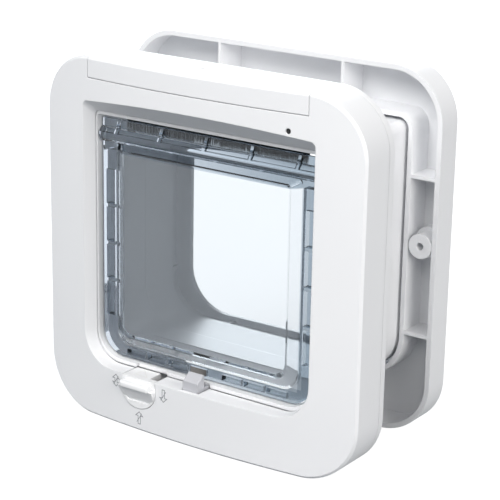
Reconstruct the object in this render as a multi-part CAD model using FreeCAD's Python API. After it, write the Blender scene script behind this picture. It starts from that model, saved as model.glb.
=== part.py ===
import FreeCAD, Part
import math
import os

# Cat flap for a house door: an inner unit with battery compartment, latch, lock knob and
# clear flap, and an outer frame whose collar slides over the tunnel of the inner unit.
# Millimetres. X runs across the door, Y from the room to the outside, Z up.
# While building, Y is 0 at the side edges of the inner face and Z is 0 at mid-height.
V = FreeCAD.Vector

# Inner unit, overall
FRAME_W = 210.0
FRAME_H = 210.0
CORNER_R = 33.0
BULGE = 8.0              # how far the middle of the face stands out
WALL = 2.6
EDGE_BEVEL = 1.3
BACK_BEVEL = 1.0
PARTING_Y = 22.0         # joint between bezel and rear housing
BACK_Y = 27.3            # face that lies against the door
SEAM_GAP = 0.25
SEAT_GAP = 0.3

# Flap and its hinge axis, set in from the edges of the frame
FLAP_MARGIN = 33.5       # side of the frame to side of the flap
AXIS_DROP = 44.8         # top of the frame to the hinge axis
FLAP_SILL = 35.6         # base of the frame to the flap's bottom edge
AXIS_Y = 10.0
FLAP_R = 14.0
FLAP_FRONT_Y = 8.0
FLAP_RIM_DEPTH = 7.0
FLAP_RIM_SIDE = 9.6
FLAP_RIM_BOTTOM = 6.8
FLAP_PANEL_T = 2.2
FLAP_RAISE = 5.0         # how far the middle panel stands out of the rim
FLAP_SLOPE_W = 4.0
FLAP_TUBE_R = 4.0
FLAP_FIN_H = 8.9
FLAP_FIN_T = 2.0
FLAP_LEDGE = 5.4         # how far the ledge stands out in front of the hinge axis
FLAP_NECK = 9.0          # from the hinge axis down to the top of the rim
PIVOT_R = 3.6
PIVOT_CLEARANCE = 0.06
POCKET_DROP = 19.4       # from the hinge axis down to the first pocket
POCKET_PITCH = 22.0
POCKET_DEPTH = 4.0
FOOT_POCKET_PITCH = 15.0
RIB_T = 2.0
GUSSET_PITCH = 30.0
MAGNET_X = -4.2
MAGNET_W = 11.0
MAGNET_H = 3.6
MAGNET_T = 2.8
FOOT_POCKET_X = 12.0     # start of the first pocket below the panel

# Recess in the inner face, with its walls drafted towards the flap
RECESS_SIDE = 5.0        # wider than the flap by this on each side
RECESS_TOP_MARGIN = 25.0
RECESS_SILL_MARGIN = 32.0
RECESS_EDGE_Y = -3.7     # depth at which these sizes hold
RECESS_DRAFT = 0.31      # inward, per millimetre of depth
RECESS_TOP_SLOPE = 0.79
RECESS_END_Y = 4.3
RECESS_BOTTOM_R = 20.0
RECESS_TOP_R = 3.0
RECESS_WALL = 2.4

# Throat that the flap swings in, and the tunnel behind it
THROAT_SIDE_GAP = 1.7
THROAT_SWEEP_GAP = 1.2
THROAT_START_Y = 4.9
THROAT_TOP_MARGIN = 33.5
THROAT_WALL = 2.2
THROAT_TAIL = 14.7       # length of the thicker floor under the tunnel
SWEEP_BACK_ANGLE = 13.5
SWEEP_FRONT_ANGLE = 3.5
TUNNEL_SIDE = 10.9       # wider than the flap by this on each side
TUNNEL_TOP_MARGIN = 27.7
TUNNEL_BOTTOM_MARGIN = 36.0
TUNNEL_TOP_R = 5.0
TUNNEL_BOTTOM_R = 24.3
TUNNEL_WALL = 2.2
TUNNEL_END_WALL = 1.4
TUNNEL_STEP_Y = 58.0
TUNNEL_END_Y = 86.0

# Cells, their tray and the cover over them
CELL_R = 7.1
CELL_L = 50.0
CELL_CAP_R = 2.7
CELL_CAP_L = 1.2
CELL_GAP = 0.2
CELL_LOW_Y = 17.0
CELL_HIGH_Y = 6.4
CELL_LOW_DROP = 22.1     # from the top of the frame
CELL_HIGH_DROP = 11.3
TRAY_WALL = 1.4
TRAY_DROP = 4.4
BAY_START = 4.0
CONTACT_T = 0.5
CONTACT_W = 9.0
CONTACT_BUMP = 0.45
COVER_SIDE = 13.6        # longer than the tray by this at each end
COVER_H = 11.8
COVER_GAP = 0.4          # along its lower edge
COVER_TAB_W = 3.0
COVER_TAB_L = 2.7
NOTCH_W = 12.0
NOTCH_Y = 11.0

# Lock knob
KNOB_SHARE = 0.4867      # its place as a share of half the flap's width
KNOB_RISE = 26.3         # above the base of the frame
KNOB_R = 12.6
KNOB_GAP = 0.3
KNOB_FLAT = 5.5          # from its axis up to the flat that lies level with the sill
KNOB_FLANGE_T = 3.4
KNOB_SHAFT_R = 4.5
KNOB_PIN_R = 2.5
KNOB_BAR_L = 19.5
KNOB_BAR_OUT = 5.0
KNOB_BAR_T = 2.8
KNOB_BAR_DROP = 2.0      # from the flat down to the bar
KNOB_SCOOP_DEPTH = 4.2
KNOB_SCOOP_END = 8.4     # from its axis down to the end of the scoop
KNOB_FRONT_LOBE_END = 6.4
KNOB_REAR_LOBE = (16.3, 21.6)
DETENT_L = 24.0
DETENT_W = 6.5
DETENT_H = 5.0
DETENT_T = 0.6
DETENT_GAP = 0.15
DETENT_Y = 8.0

# Latch and its solenoid
LATCH_W = 10.2
LATCH_FRONT_Y = -5.2
LATCH_PEAK_Y = 0.1
LATCH_BACK_Y = 6.2
LATCH_RISE = 41.3        # above the base of the frame
LATCH_SLOPE = 3.4        # from its highest point down to its front edge
LATCH_STEP = 7.6         # from its highest point down to its back part
LATCH_H = 21.3
LATCH_GAP = 0.3
LATCH_SIDE_GAP = 1.0
PLUNGER_Y = 16.0
PLUNGER_R = 3.0
PLUNGER_IN = 5.5         # how far the plunger reaches into the coil
SOLENOID_R = 6.5
SOLENOID_RISE = 3.4
SOLENOID_H = 13.0
BRACKET_T = 1.0
BRACKET_W = 7.2
ARM_RISE = 25.4
ARM_T = 2.4
ARM_W = 8.0
SPRING_WIRE = 0.6
SPRING_TURNS = 4
SPRING_POINTS = 8        # corners to a turn

# Electronics and small parts
LED_DROP = 21.0
LED_R = 1.5
LED_GAP = 2.1            # between the tray and the light's axis
BOARD_Y = 9.5
BOARD_T = 1.6
BOARD_SIDE = 5.6         # from the throat's wall to the board
BOARD_EDGE = 6.0         # from the side of the frame to the board
BOARD_TOP = 33.0         # from the top of the frame to the main part of the board
BOARD_FOOT = 65.0        # from the base of the frame to the board
BOARD_SCREWS = (75.0, 155.0)     # above the base of the frame
BOARD_HEAD_R = 2.2
BOARD_HEAD_T = 1.6
BOARD_SHANK_R = 0.95
BOARD_SHANK_L = 7.0
BUTTON_GAP = 8.9         # between the tray and the button's axis
BUTTON_DROP = 8.4
BUTTON_R = 2.8
BUTTON_Y = (-1.0, 1.5)
SWITCH_W = 6.0
SWITCH_Y = 2.4
COIL_SIDE = 5.1          # from the throat's wall to the coil
COIL_RISE = 6.0
COIL_T = 4.0
COIL_Y = (5.2, 7.8)
SILL_MAGNET_X = 12.0
SILL_MAGNET_W = 6.0
SILL_MAGNET_T = 4.0
BRUSH_MARGIN = 11.5      # from the end of the brush to the side of the flap
BRUSH_GAP = 1.1          # between the flap's tube and the pile
BRUSH_T = 3.0
BRUSH_HOLDER_T = 4.0
BRUSH_HOLDER_H = 2.7
BRUSH_PILE_RISE = 0.6    # pile end above the hinge axis

# Screws and door fixings
SCREW_UPPER = (11.5, 25.0)       # in from the side and down from the top
SCREW_LOWER = (43.0, 19.0)       # in from the side and up from the base
SCREW_R = 1.5
SCREW_L = 11.4
SCREW_HEAD_R = 2.8
SCREW_HEAD_T = 1.8
POST_R = 4.0
FIXING_IN = 10.25        # in from the side of the frame
FIXING_Z = 9.3
FIXING_PILOT_R = 1.6
FIXING_HOLE_R = 2.1

# Outer frame
OUT_Z = 2.7              # its centre above the centre of the inner unit
OUT_FRONT_Y = 75.9
OUT_DEPTH = 18.4
OUT_BULGE = 5.0
OUT_WALL = 3.1
OUT_WEB = 2.6
OUT_BEVEL = 2.0
OUT_CORNER_R = 31.0
COLLAR_GAP = 2.0
GUIDE_GAP = 0.3          # between the tunnel and the guide ribs in the collar
COLLAR_WALL = 2.7
COLLAR_BOTTOM_R = 28.5
COLLAR_TOP_R = 9.0
EXIT_SIDE = 2.3          # wider than the flap by this on each side
EXIT_TOP_MARGIN = 39.0
EXIT_BOTTOM_MARGIN = 38.0
EXIT_BOTTOM_R = 27.0
EXIT_TOP_R = 8.0
TOP_RIB_SHARE = 0.395    # place of the upright ribs as a share of half the width
SIDE_RIB_SHARE = 0.4286  # place of the level ribs as a share of half the height
BOSS_R = 7.1

# Values that follow from the sizes above
HALF_W = FRAME_W / 2
HALF_H = FRAME_H / 2
FACE_R = (HALF_W ** 2 + BULGE ** 2) / (2 * BULGE)
FACE_CENTRE_Y = FACE_R - BULGE
LID_Y = PARTING_Y - SEAM_GAP
INNER_Y = BACK_Y - WALL
AXIS_Z = HALF_H - AXIS_DROP
FLAP_HALF_W = HALF_W - FLAP_MARGIN
FLAP_BOTTOM = FLAP_SILL - HALF_H
FLAP_LENGTH = AXIS_Z - FLAP_BOTTOM
FLAP_BACK_Y = FLAP_FRONT_Y + FLAP_RIM_DEPTH
RECESS_HALF_W = FLAP_HALF_W + RECESS_SIDE
RECESS_TOP = HALF_H - RECESS_TOP_MARGIN
RECESS_SILL = RECESS_SILL_MARGIN - HALF_H
THROAT_HALF_W = FLAP_HALF_W + THROAT_SIDE_GAP
THROAT_OUTER_W = THROAT_HALF_W + THROAT_WALL
THROAT_TOP = HALF_H - THROAT_TOP_MARGIN
SWEEP_R = math.hypot(FLAP_LENGTH, FLAP_BACK_Y - AXIS_Y) + THROAT_SWEEP_GAP
THROAT_FOOT = AXIS_Z - SWEEP_R - THROAT_WALL
TUNNEL_HALF_W = FLAP_HALF_W + TUNNEL_SIDE
TUNNEL_TOP = HALF_H - TUNNEL_TOP_MARGIN
TUNNEL_BOTTOM = TUNNEL_BOTTOM_MARGIN - HALF_H
CELL_LOW = (CELL_LOW_Y, HALF_H - CELL_LOW_DROP)
CELL_HIGH = (CELL_HIGH_Y, HALF_H - CELL_HIGH_DROP)
TRAY_TOP = HALF_H - TRAY_DROP
TRAY_END = BAY_START + 2 * TRAY_WALL + CELL_L + 2 * (CONTACT_T + CONTACT_BUMP)
COVER_HALF_W = TRAY_END + COVER_SIDE
COVER_BOTTOM = HALF_H - COVER_H
KNOB_X = -KNOB_SHARE * FLAP_HALF_W
KNOB_Z = KNOB_RISE - HALF_H
LATCH_TOP = LATCH_RISE - HALF_H
SOLENOID_BOTTOM = SOLENOID_RISE - HALF_H
SOLENOID_TOP = SOLENOID_BOTTOM + SOLENOID_H
ARM_BOTTOM = ARM_RISE - HALF_H
ARM_TOP = ARM_BOTTOM + ARM_T
LED_X = TRAY_END + LED_GAP
LED_Z = HALF_H - LED_DROP
BUTTON_X = TRAY_END + BUTTON_GAP
BUTTON_Z = HALF_H - BUTTON_DROP
COIL_HALF_W = THROAT_OUTER_W + COIL_SIDE + COIL_T
COIL_BOTTOM = COIL_RISE - HALF_H
BOARD_START = THROAT_OUTER_W + BOARD_SIDE
BOARD_END = HALF_W - BOARD_EDGE
BOARD_MID = (BOARD_START + BOARD_END) / 2
SCREW_SPOTS = ((HALF_W - SCREW_UPPER[0], HALF_H - SCREW_UPPER[1]),
               (HALF_W - SCREW_LOWER[0], SCREW_LOWER[1] - HALF_H))
FIXING_X = HALF_W - FIXING_IN
OUT_BACK_Y = OUT_FRONT_Y + OUT_DEPTH
OUT_FACE_R = (HALF_W ** 2 + OUT_BULGE ** 2) / (2 * OUT_BULGE)
OUT_CENTRE_Y = OUT_BACK_Y + OUT_BULGE - OUT_FACE_R
EXIT_HALF_W = FLAP_HALF_W + EXIT_SIDE
EXIT_TOP = HALF_H - EXIT_TOP_MARGIN
EXIT_BOTTOM = EXIT_BOTTOM_MARGIN - HALF_H
TOP_RIB_X = TOP_RIB_SHARE * HALF_W
SIDE_RIB_Z = SIDE_RIB_SHARE * HALF_H


def face_y(x):
    """Depth of the curved inner face at a given X."""
    return FACE_CENTRE_Y - math.sqrt(FACE_R ** 2 - x ** 2)


def block(x0, x1, y0, y1, z0, z1):
    return Part.makeBox(x1 - x0, y1 - y0, z1 - z0, V(x0, y0, z0))


def rod(start, radius, length, axis):
    return Part.makeCylinder(radius, length, V(*start), V(*axis))


def outline(half_w, bottom, top, r_bottom, r_top, y=0.0, x=0.0):
    """Closed wire in an XZ plane: an upright oblong with two corner radii."""
    corners = ((half_w - r_bottom, bottom + r_bottom, r_bottom, -90),
               (half_w - r_top, top - r_top, r_top, 0),
               (-half_w + r_top, top - r_top, r_top, 90),
               (-half_w + r_bottom, bottom + r_bottom, r_bottom, 180))
    arcs = []
    for cx, cz, r, first in corners:
        points = []
        for turn in (0, 45, 90):
            angle = math.radians(first + turn)
            points.append(V(x + cx + r * math.cos(angle), y, cz + r * math.sin(angle)))
        arcs.append(points)
    edges = []
    for i, points in enumerate(arcs):
        edges.append(Part.Arc(*points).toShape())
        edges.append(Part.makeLine(points[2], arcs[(i + 1) % 4][0]))
    return Part.Wire(edges)


def prism(wire, y0, y1):
    """Solid from an outline drawn at Y 0, running from y0 to y1."""
    solid = Part.Face(wire).extrude(V(0, y1 - y0, 0))
    solid.translate(V(0, y0, 0))
    return solid


def frame_prism(inset, y0, y1, corner_r=CORNER_R, centre_z=0.0):
    half_w = HALF_W - inset
    half_h = HALF_H - inset
    radius = corner_r - inset
    wire = outline(half_w, centre_z - half_h, centre_z + half_h, radius, radius)
    return prism(wire, y0, y1)


def face_drum(inset):
    """Upright drum whose front side is the curved inner face."""
    return Part.makeCylinder(FACE_R - inset, 4 * FRAME_H, V(0, FACE_CENTRE_Y, -2 * FRAME_H))


def out_drum(inset):
    """Upright drum whose back side is the curved outer face."""
    return Part.makeCylinder(OUT_FACE_R - inset, 4 * FRAME_H, V(0, OUT_CENTRE_Y, -2 * FRAME_H))


def polygon(points, x0, x1):
    """Solid from corner points in the YZ plane, running from x0 to x1."""
    corners = [V(x0, y, z) for y, z in points]
    face = Part.Face(Part.makePolygon(corners + corners[:1]))
    return face.extrude(V(x1 - x0, 0, 0))


def both_sides(shape):
    return [shape, shape.mirror(V(0, 0, 0), V(1, 0, 0))]


def fuse_all(shapes):
    first = shapes[0]
    return first.multiFuse(shapes[1:]).removeSplitter()


def cut_all(shape, tools):
    return shape.cut(Part.makeCompound(tools))


def bevel(shape, width, wanted):
    """Bevel the edges that the test picks."""
    edges = [edge for edge in shape.Edges if wanted(edge)]
    return shape.makeChamfer(width, edges)


# Bezel and battery cover
def recess_outline(y, offset):
    depth = y - RECESS_EDGE_Y
    return outline(RECESS_HALF_W - depth * RECESS_DRAFT + offset,
                   RECESS_SILL - offset,
                   RECESS_TOP - depth * RECESS_TOP_SLOPE + offset * 1.3,
                   RECESS_BOTTOM_R - depth * RECESS_DRAFT + offset,
                   RECESS_TOP_R + offset, y)


def recess(offset, end_y):
    """Tapered solid that fills the recess, made larger by the offset."""
    start_y = -BULGE - 1.5
    return Part.makeLoft([recess_outline(start_y, offset), recess_outline(end_y, offset)],
                         True, True)


def bezel_block():
    body = frame_prism(0, -BULGE - 1, LID_Y).common(face_drum(0))
    return bevel(body, EDGE_BEVEL, lambda edge: edge.BoundBox.YMax < 0.01)


def bezel_shell():
    hollow = frame_prism(WALL, -BULGE, PARTING_Y + 1).common(face_drum(WALL))
    return bezel_block().cut(hollow)


def knob_hole(y0, y1):
    return rod((KNOB_X, y0, KNOB_Z), KNOB_R + KNOB_GAP, y1 - y0, (0, 1, 0))


def latch_hole(y0, y1):
    half = LATCH_W / 2 + LATCH_SIDE_GAP
    return block(-half, half, max(y0, LATCH_FRONT_Y - LATCH_GAP),
                 min(y1, LATCH_BACK_Y + LATCH_GAP), LATCH_TOP - LATCH_H, LATCH_TOP)


def screw_posts():
    """Hollow posts inside the bezel, up to the parting line."""
    posts, holes = [], []
    for x, z in SCREW_SPOTS:
        start = face_y(x) + 1
        posts += both_sides(rod((x, start, z), POST_R, PARTING_Y - start, (0, 1, 0)))
        holes += both_sides(rod((x, BACK_Y - SCREW_L - 7.9, z), SCREW_R, SCREW_L + 4, (0, 1, 0)))
    return posts, holes


def front_bezel():
    cover_gap = block(-COVER_HALF_W, COVER_HALF_W, -20, PARTING_Y, COVER_BOTTOM, HALF_H + 1)
    shell = bezel_shell().cut(cover_gap)
    recess_wall = recess(RECESS_WALL, RECESS_END_Y).common(bezel_block())
    posts, holes = screw_posts()
    body = fuse_all([shell, recess_wall] + posts)
    holes.append(recess(0, RECESS_END_Y + 1))
    holes.append(knob_hole(-BULGE - 1, RECESS_END_Y + 1))
    holes.append(latch_hole(-BULGE, RECESS_END_Y + 1))
    holes.append(rod((LED_X, -BULGE - 1, LED_Z), LED_R + 0.05, BULGE + 4, (0, 1, 0)))
    return cut_all(body, holes)


def battery_cover():
    half = COVER_HALF_W - SEAM_GAP
    foot = COVER_BOTTOM + COVER_GAP
    region = block(-half, half, -20, LID_Y, foot, HALF_H + 1)
    lid = bezel_shell().common(region)
    x0 = TRAY_END + LED_GAP - 0.2
    x1 = x0 + COVER_TAB_W
    tongue = face_drum(WALL + SEAT_GAP).cut(face_drum(WALL + 1.8))
    tab = tongue.common(block(x0, x1, -20, 3, COVER_BOTTOM - COVER_TAB_L, foot + 1.6))
    root = face_drum(WALL - 0.2).cut(face_drum(WALL + 1.8))
    root = root.common(block(x0, x1, -20, 3, foot, foot + 1.6))
    lid = fuse_all([lid] + both_sides(tab.fuse(root)))
    notch = polygon([(NOTCH_Y - 3, HALF_H), (NOTCH_Y + 3, HALF_H - 1.4),
                     (NOTCH_Y + 3, HALF_H + 1), (NOTCH_Y - 3, HALF_H + 1)],
                    -NOTCH_W / 2, NOTCH_W / 2)
    return lid.cut(notch)


# Rear housing with throat and tunnel
def sweep_sector():
    """Part of a ring about the hinge axis, that the flap's lower half swings through."""
    wire = outline(THROAT_HALF_W, AXIS_Z - SWEEP_R, AXIS_Z - 0.46 * FLAP_LENGTH,
                   FLAP_R + THROAT_SIDE_GAP, 1.0, AXIS_Y)
    centre = V(0, AXIS_Y, AXIS_Z)
    face = Part.Face(wire)
    face.rotate(centre, V(1, 0, 0), -SWEEP_FRONT_ANGLE)
    return face.revolve(centre, V(1, 0, 0), SWEEP_FRONT_ANGLE + SWEEP_BACK_ANGLE)


def throat_space():
    start_y = THROAT_START_Y - 1
    upright = outline(THROAT_HALF_W, AXIS_Z - 0.77 * FLAP_LENGTH, THROAT_TOP, 1.0, 2.0)
    behind = block(-HALF_W, HALF_W, start_y, BACK_Y + THROAT_TAIL, -HALF_H, HALF_H)
    return prism(upright, start_y, BACK_Y + 1).fuse(sweep_sector().common(behind))


def throat_walls():
    """Box round the throat, whose floor runs on under the tunnel."""
    wire = outline(THROAT_OUTER_W, THROAT_FOOT, THROAT_TOP + THROAT_WALL,
                   FLAP_R + THROAT_SIDE_GAP + THROAT_WALL, 2.0 + THROAT_WALL)
    return prism(wire, THROAT_START_Y, BACK_Y + THROAT_TAIL)


def tunnel(inset, y0, y1):
    wire = outline(TUNNEL_HALF_W - inset, TUNNEL_BOTTOM + inset, TUNNEL_TOP - inset,
                   TUNNEL_BOTTOM_R - inset, TUNNEL_TOP_R - inset)
    return prism(wire, y0, y1)


def back_plate():
    tray = frame_prism(0, PARTING_Y, BACK_Y)
    tray = bevel(tray, BACK_BEVEL, lambda edge: edge.BoundBox.YMin > BACK_Y - 0.01)
    lip = frame_prism(WALL + 0.2, PARTING_Y - 2, PARTING_Y + 1)
    hollow = frame_prism(WALL + 1.4, PARTING_Y - 3, INNER_Y)
    return tray.fuse(lip).cut(hollow)


def hinge_bosses():
    ring = rod((THROAT_OUTER_W - 1, AXIS_Y, AXIS_Z), PIVOT_R + 3, 4, (1, 0, 0))
    return both_sides(ring.common(block(0, HALF_W, THROAT_START_Y, BACK_Y, 0, HALF_H)))


def hinge_holes():
    reach = rod((THROAT_HALF_W - 1, AXIS_Y, AXIS_Z), PIVOT_R + PIVOT_CLEARANCE, 7, (1, 0, 0))
    return both_sides(reach)


def board_screw_heights():
    return [rise - HALF_H for rise in BOARD_SCREWS]


def rear_housing():
    solids = [back_plate(), throat_walls(), tunnel(0, INNER_Y, TUNNEL_END_Y)]
    solids += hinge_bosses()
    holes = hinge_holes()
    for x, z in SCREW_SPOTS:
        solids += both_sides(rod((x, PARTING_Y, z), POST_R, INNER_Y - PARTING_Y + 1, (0, 1, 0)))
        holes += both_sides(rod((x, PARTING_Y - 1, z), SCREW_R + 0.3, 8, (0, 1, 0)))
        holes += both_sides(rod((x, BACK_Y - 2.4, z), SCREW_HEAD_R + 0.5, 4, (0, 1, 0)))
    solids += both_sides(rod((FIXING_X, 13, FIXING_Z), 4.6, INNER_Y - 12, (0, 1, 0)))
    holes += both_sides(rod((FIXING_X, 14.5, FIXING_Z), FIXING_PILOT_R, BACK_Y, (0, 1, 0)))
    board_back = BOARD_Y + BOARD_T
    for z in board_screw_heights():
        solids.append(rod((BOARD_MID, board_back, z), 3.0, INNER_Y - board_back + 1, (0, 1, 0)))
        holes.append(rod((BOARD_MID, board_back - 1, z), 1.0, 9, (0, 1, 0)))
    seat_y = KNOB_REAR_LOBE[1] + 0.6
    solids.append(rod((KNOB_X, seat_y, KNOB_Z), 5.0, INNER_Y - seat_y + 1, (0, 1, 0)))
    holes.append(rod((KNOB_X, seat_y - 1, KNOB_Z), KNOB_PIN_R + 0.08, INNER_Y - seat_y + 1,
                     (0, 1, 0)))
    body = fuse_all(solids)
    holes.append(throat_space())
    holes.append(tunnel(TUNNEL_WALL, BACK_Y - 0.5, TUNNEL_END_Y + 1))
    holes.append(tunnel(TUNNEL_END_WALL, TUNNEL_STEP_Y, TUNNEL_END_Y + 1))
    holes.append(latch_hole(THROAT_START_Y - 1, LATCH_BACK_Y + 1))
    holes.append(knob_hole(THROAT_START_Y - 1, KNOB_FRONT_LOBE_END + 0.4))
    holes.append(knob_hole(KNOB_REAR_LOBE[0] - 0.4, KNOB_REAR_LOBE[1] + 0.5))
    return cut_all(body, holes)


# Battery compartment
def battery_tray():
    reach = CELL_R + CELL_GAP
    low_y, low_z = CELL_LOW
    high_y, high_z = CELL_HIGH
    front, step = high_y - reach, low_y - reach
    back = INNER_Y - SEAT_GAP
    high_floor, low_floor = high_z - reach, low_z - reach
    body = polygon([(front - TRAY_WALL, high_floor - TRAY_WALL),
                    (step - TRAY_WALL, high_floor - TRAY_WALL),
                    (step - TRAY_WALL, low_floor - TRAY_WALL),
                    (back, low_floor - TRAY_WALL), (back, TRAY_TOP),
                    (front - TRAY_WALL, TRAY_TOP)], -TRAY_END, TRAY_END)
    bay = polygon([(front, high_floor), (step, high_floor), (step, low_floor),
                   (back + 1, low_floor), (back + 1, TRAY_TOP + 1), (front, TRAY_TOP + 1)],
                  BAY_START, TRAY_END - TRAY_WALL)
    return cut_all(body, both_sides(bay))


def cell_start():
    return BAY_START + CONTACT_T + CONTACT_BUMP + 0.5 * TRAY_WALL


def aa_cell(side, place):
    """One cylindrical cell with its raised cap, cap outwards."""
    y, z = place
    start = cell_start()
    can_l = CELL_L - CELL_CAP_L
    can = rod((start, y, z), CELL_R, can_l, (1, 0, 0))
    cell = can.fuse(rod((start + can_l - 0.1, y, z), CELL_CAP_R, CELL_CAP_L + 0.1, (1, 0, 0)))
    if side < 0:
        cell = cell.mirror(V(0, 0, 0), V(1, 0, 0))
    return cell


def battery_contacts():
    """Eight sprung plates, one at each end of each cell."""
    start = cell_start()
    half = CONTACT_W / 2
    bump = CONTACT_BUMP - 0.05
    plates = []
    for y, z in (CELL_LOW, CELL_HIGH):
        left = start - CONTACT_BUMP - CONTACT_T
        right = start + CELL_L + CONTACT_BUMP
        for x, tip in ((left, left + CONTACT_T), (right, right - bump)):
            plate = block(x, x + CONTACT_T, y - half, y + half, z - half, z + half)
            leaf = block(tip, tip + bump, y - half / 3, y + half / 3, z - half / 2, z + half / 2)
            plates += both_sides(plate.fuse(leaf))
    return Part.makeCompound(plates)


# Flap
def flap_outline(side_inset, bottom_inset, top, radius, y=0.0):
    return outline(FLAP_HALF_W - side_inset, FLAP_BOTTOM + bottom_inset, top, radius, 2.0, y)


def raised_panel(inset, front_y, back_y):
    """Middle panel: a tray with sloping sides, standing towards the room."""
    side = FLAP_RIM_SIDE + inset
    low = FLAP_RIM_BOTTOM + inset
    foot_y = front_y + FLAP_RAISE
    top = AXIS_Z - FLAP_TUBE_R - inset
    front = flap_outline(side + FLAP_SLOPE_W, low + 1.8 * FLAP_SLOPE_W, top - 2.5, 8.0, front_y)
    foot = flap_outline(side, low, top, 10.0, foot_y)
    base = flap_outline(side, low, top, 10.0)
    return Part.makeLoft([front, foot], True, True).fuse(prism(base, foot_y, back_y))


def rim_pockets():
    """Pockets between the ribs, open to the room."""
    y0, y1 = FLAP_FRONT_Y - 1, FLAP_FRONT_Y + POCKET_DEPTH
    pockets = []
    x0 = FLAP_HALF_W - FLAP_RIM_SIDE + 2.2
    x1 = FLAP_HALF_W - RIB_T
    z = AXIS_Z - POCKET_DROP
    while z - POCKET_PITCH > FLAP_BOTTOM + FLAP_R:
        pockets += both_sides(block(x0, x1, y0, y1, z - POCKET_PITCH + RIB_T / 2, z - RIB_T / 2))
        z -= POCKET_PITCH
    z0 = FLAP_BOTTOM + 1.6
    z1 = FLAP_BOTTOM + FLAP_RIM_BOTTOM - 1.8
    x = FOOT_POCKET_X
    while x + FOOT_POCKET_PITCH < FLAP_HALF_W - FLAP_R + 1:
        pockets += both_sides(block(x, x + FOOT_POCKET_PITCH - RIB_T, y0, y1, z0, z1))
        x += FOOT_POCKET_PITCH
    return pockets


def magnet_seat(gap, depth):
    """Space in the front of the flap's bottom rim."""
    half = MAGNET_W / 2 + gap
    y1, z0 = FLAP_FRONT_Y + 0.2 + MAGNET_T + gap, FLAP_BOTTOM + 1.4 - gap
    return block(MAGNET_X - half, MAGNET_X + half, y1 - depth, y1, z0, z0 + MAGNET_H + 2 * gap)


def fin_gussets():
    """Small ribs between the ledge and the fin above the hinge."""
    ribs = []
    top = AXIS_Z + FLAP_FIN_H
    count = int(FLAP_HALF_W / GUSSET_PITCH)
    for i in range(-count, count + 1):
        x = i * GUSSET_PITCH
        ribs.append(polygon([(FLAP_FRONT_Y, top - 0.3), (AXIS_Y - FLAP_LEDGE, AXIS_Z + 2.3),
                             (AXIS_Y - FLAP_LEDGE, AXIS_Z), (FLAP_FRONT_Y, AXIS_Z)],
                            x - RIB_T / 2, x + RIB_T / 2))
    return ribs


def ledge():
    """Step in front of the hinge tube, over the full width."""
    lip = AXIS_Y - FLAP_LEDGE
    foot = AXIS_Z - FLAP_TUBE_R
    return polygon([(lip, AXIS_Z + 1.6), (lip, AXIS_Z - 0.7), (lip + 1.6, foot + 0.2),
                    (AXIS_Y, foot), (AXIS_Y, AXIS_Z + 1.6)], -FLAP_HALF_W, FLAP_HALF_W)


def flap():
    rim_top = AXIS_Z - FLAP_NECK
    outer = prism(flap_outline(0, 0, rim_top, FLAP_R), FLAP_FRONT_Y, FLAP_BACK_Y)
    inner = prism(flap_outline(FLAP_RIM_SIDE, FLAP_RIM_BOTTOM, rim_top + 5, 10.0),
                  FLAP_FRONT_Y - 1, FLAP_BACK_Y + 1)
    web_back = FLAP_FRONT_Y + FLAP_PANEL_T
    half = FLAP_HALF_W
    top = AXIS_Z + FLAP_FIN_H
    plate = block(-half, half, FLAP_FRONT_Y, web_back, rim_top - 8, AXIS_Z)
    fin = block(-half, half, FLAP_FRONT_Y, FLAP_FRONT_Y + FLAP_FIN_T, AXIS_Z, top)
    tube = rod((-half, AXIS_Y, AXIS_Z), FLAP_TUBE_R, 2 * half, (1, 0, 0))
    panel = raised_panel(0, FLAP_FRONT_Y - FLAP_RAISE, web_back)
    hollow = raised_panel(1.8, FLAP_FRONT_Y - FLAP_RAISE + FLAP_PANEL_T, web_back + 1)
    reach = THROAT_SIDE_GAP + THROAT_WALL + 2.4
    pivots = both_sides(rod((half - 1, AXIS_Y, AXIS_Z), PIVOT_R, reach + 1, (1, 0, 0)))
    solids = [outer.cut(inner), plate, fin, tube, ledge(), panel] + pivots + fin_gussets()
    body = fuse_all(solids)
    return cut_all(body, [hollow, magnet_seat(0.1, 2 * MAGNET_T)] + rim_pockets())


def flap_magnet():
    return magnet_seat(0, MAGNET_T)


def sill_magnet():
    """Magnet under the throat's floor, beside the latch."""
    top = THROAT_FOOT - 0.2
    y0 = AXIS_Y - 0.6 * SILL_MAGNET_W
    return block(SILL_MAGNET_X, SILL_MAGNET_X + MAGNET_W, y0, y0 + SILL_MAGNET_W,
                 top - SILL_MAGNET_T, top)


def brush_strip():
    """Holder and pile of the draught brush behind the fin."""
    half = FLAP_HALF_W - BRUSH_MARGIN
    y0 = AXIS_Y + FLAP_TUBE_R + BRUSH_GAP
    top = THROAT_TOP - SEAT_GAP
    holder = block(-half, half, y0 - 0.5, y0 - 0.5 + BRUSH_HOLDER_T, top - BRUSH_HOLDER_H, top)
    pile = block(-half, half, y0, y0 + BRUSH_T, AXIS_Z + BRUSH_PILE_RISE,
                 top - BRUSH_HOLDER_H + 0.1)
    return holder.fuse(pile)


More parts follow.
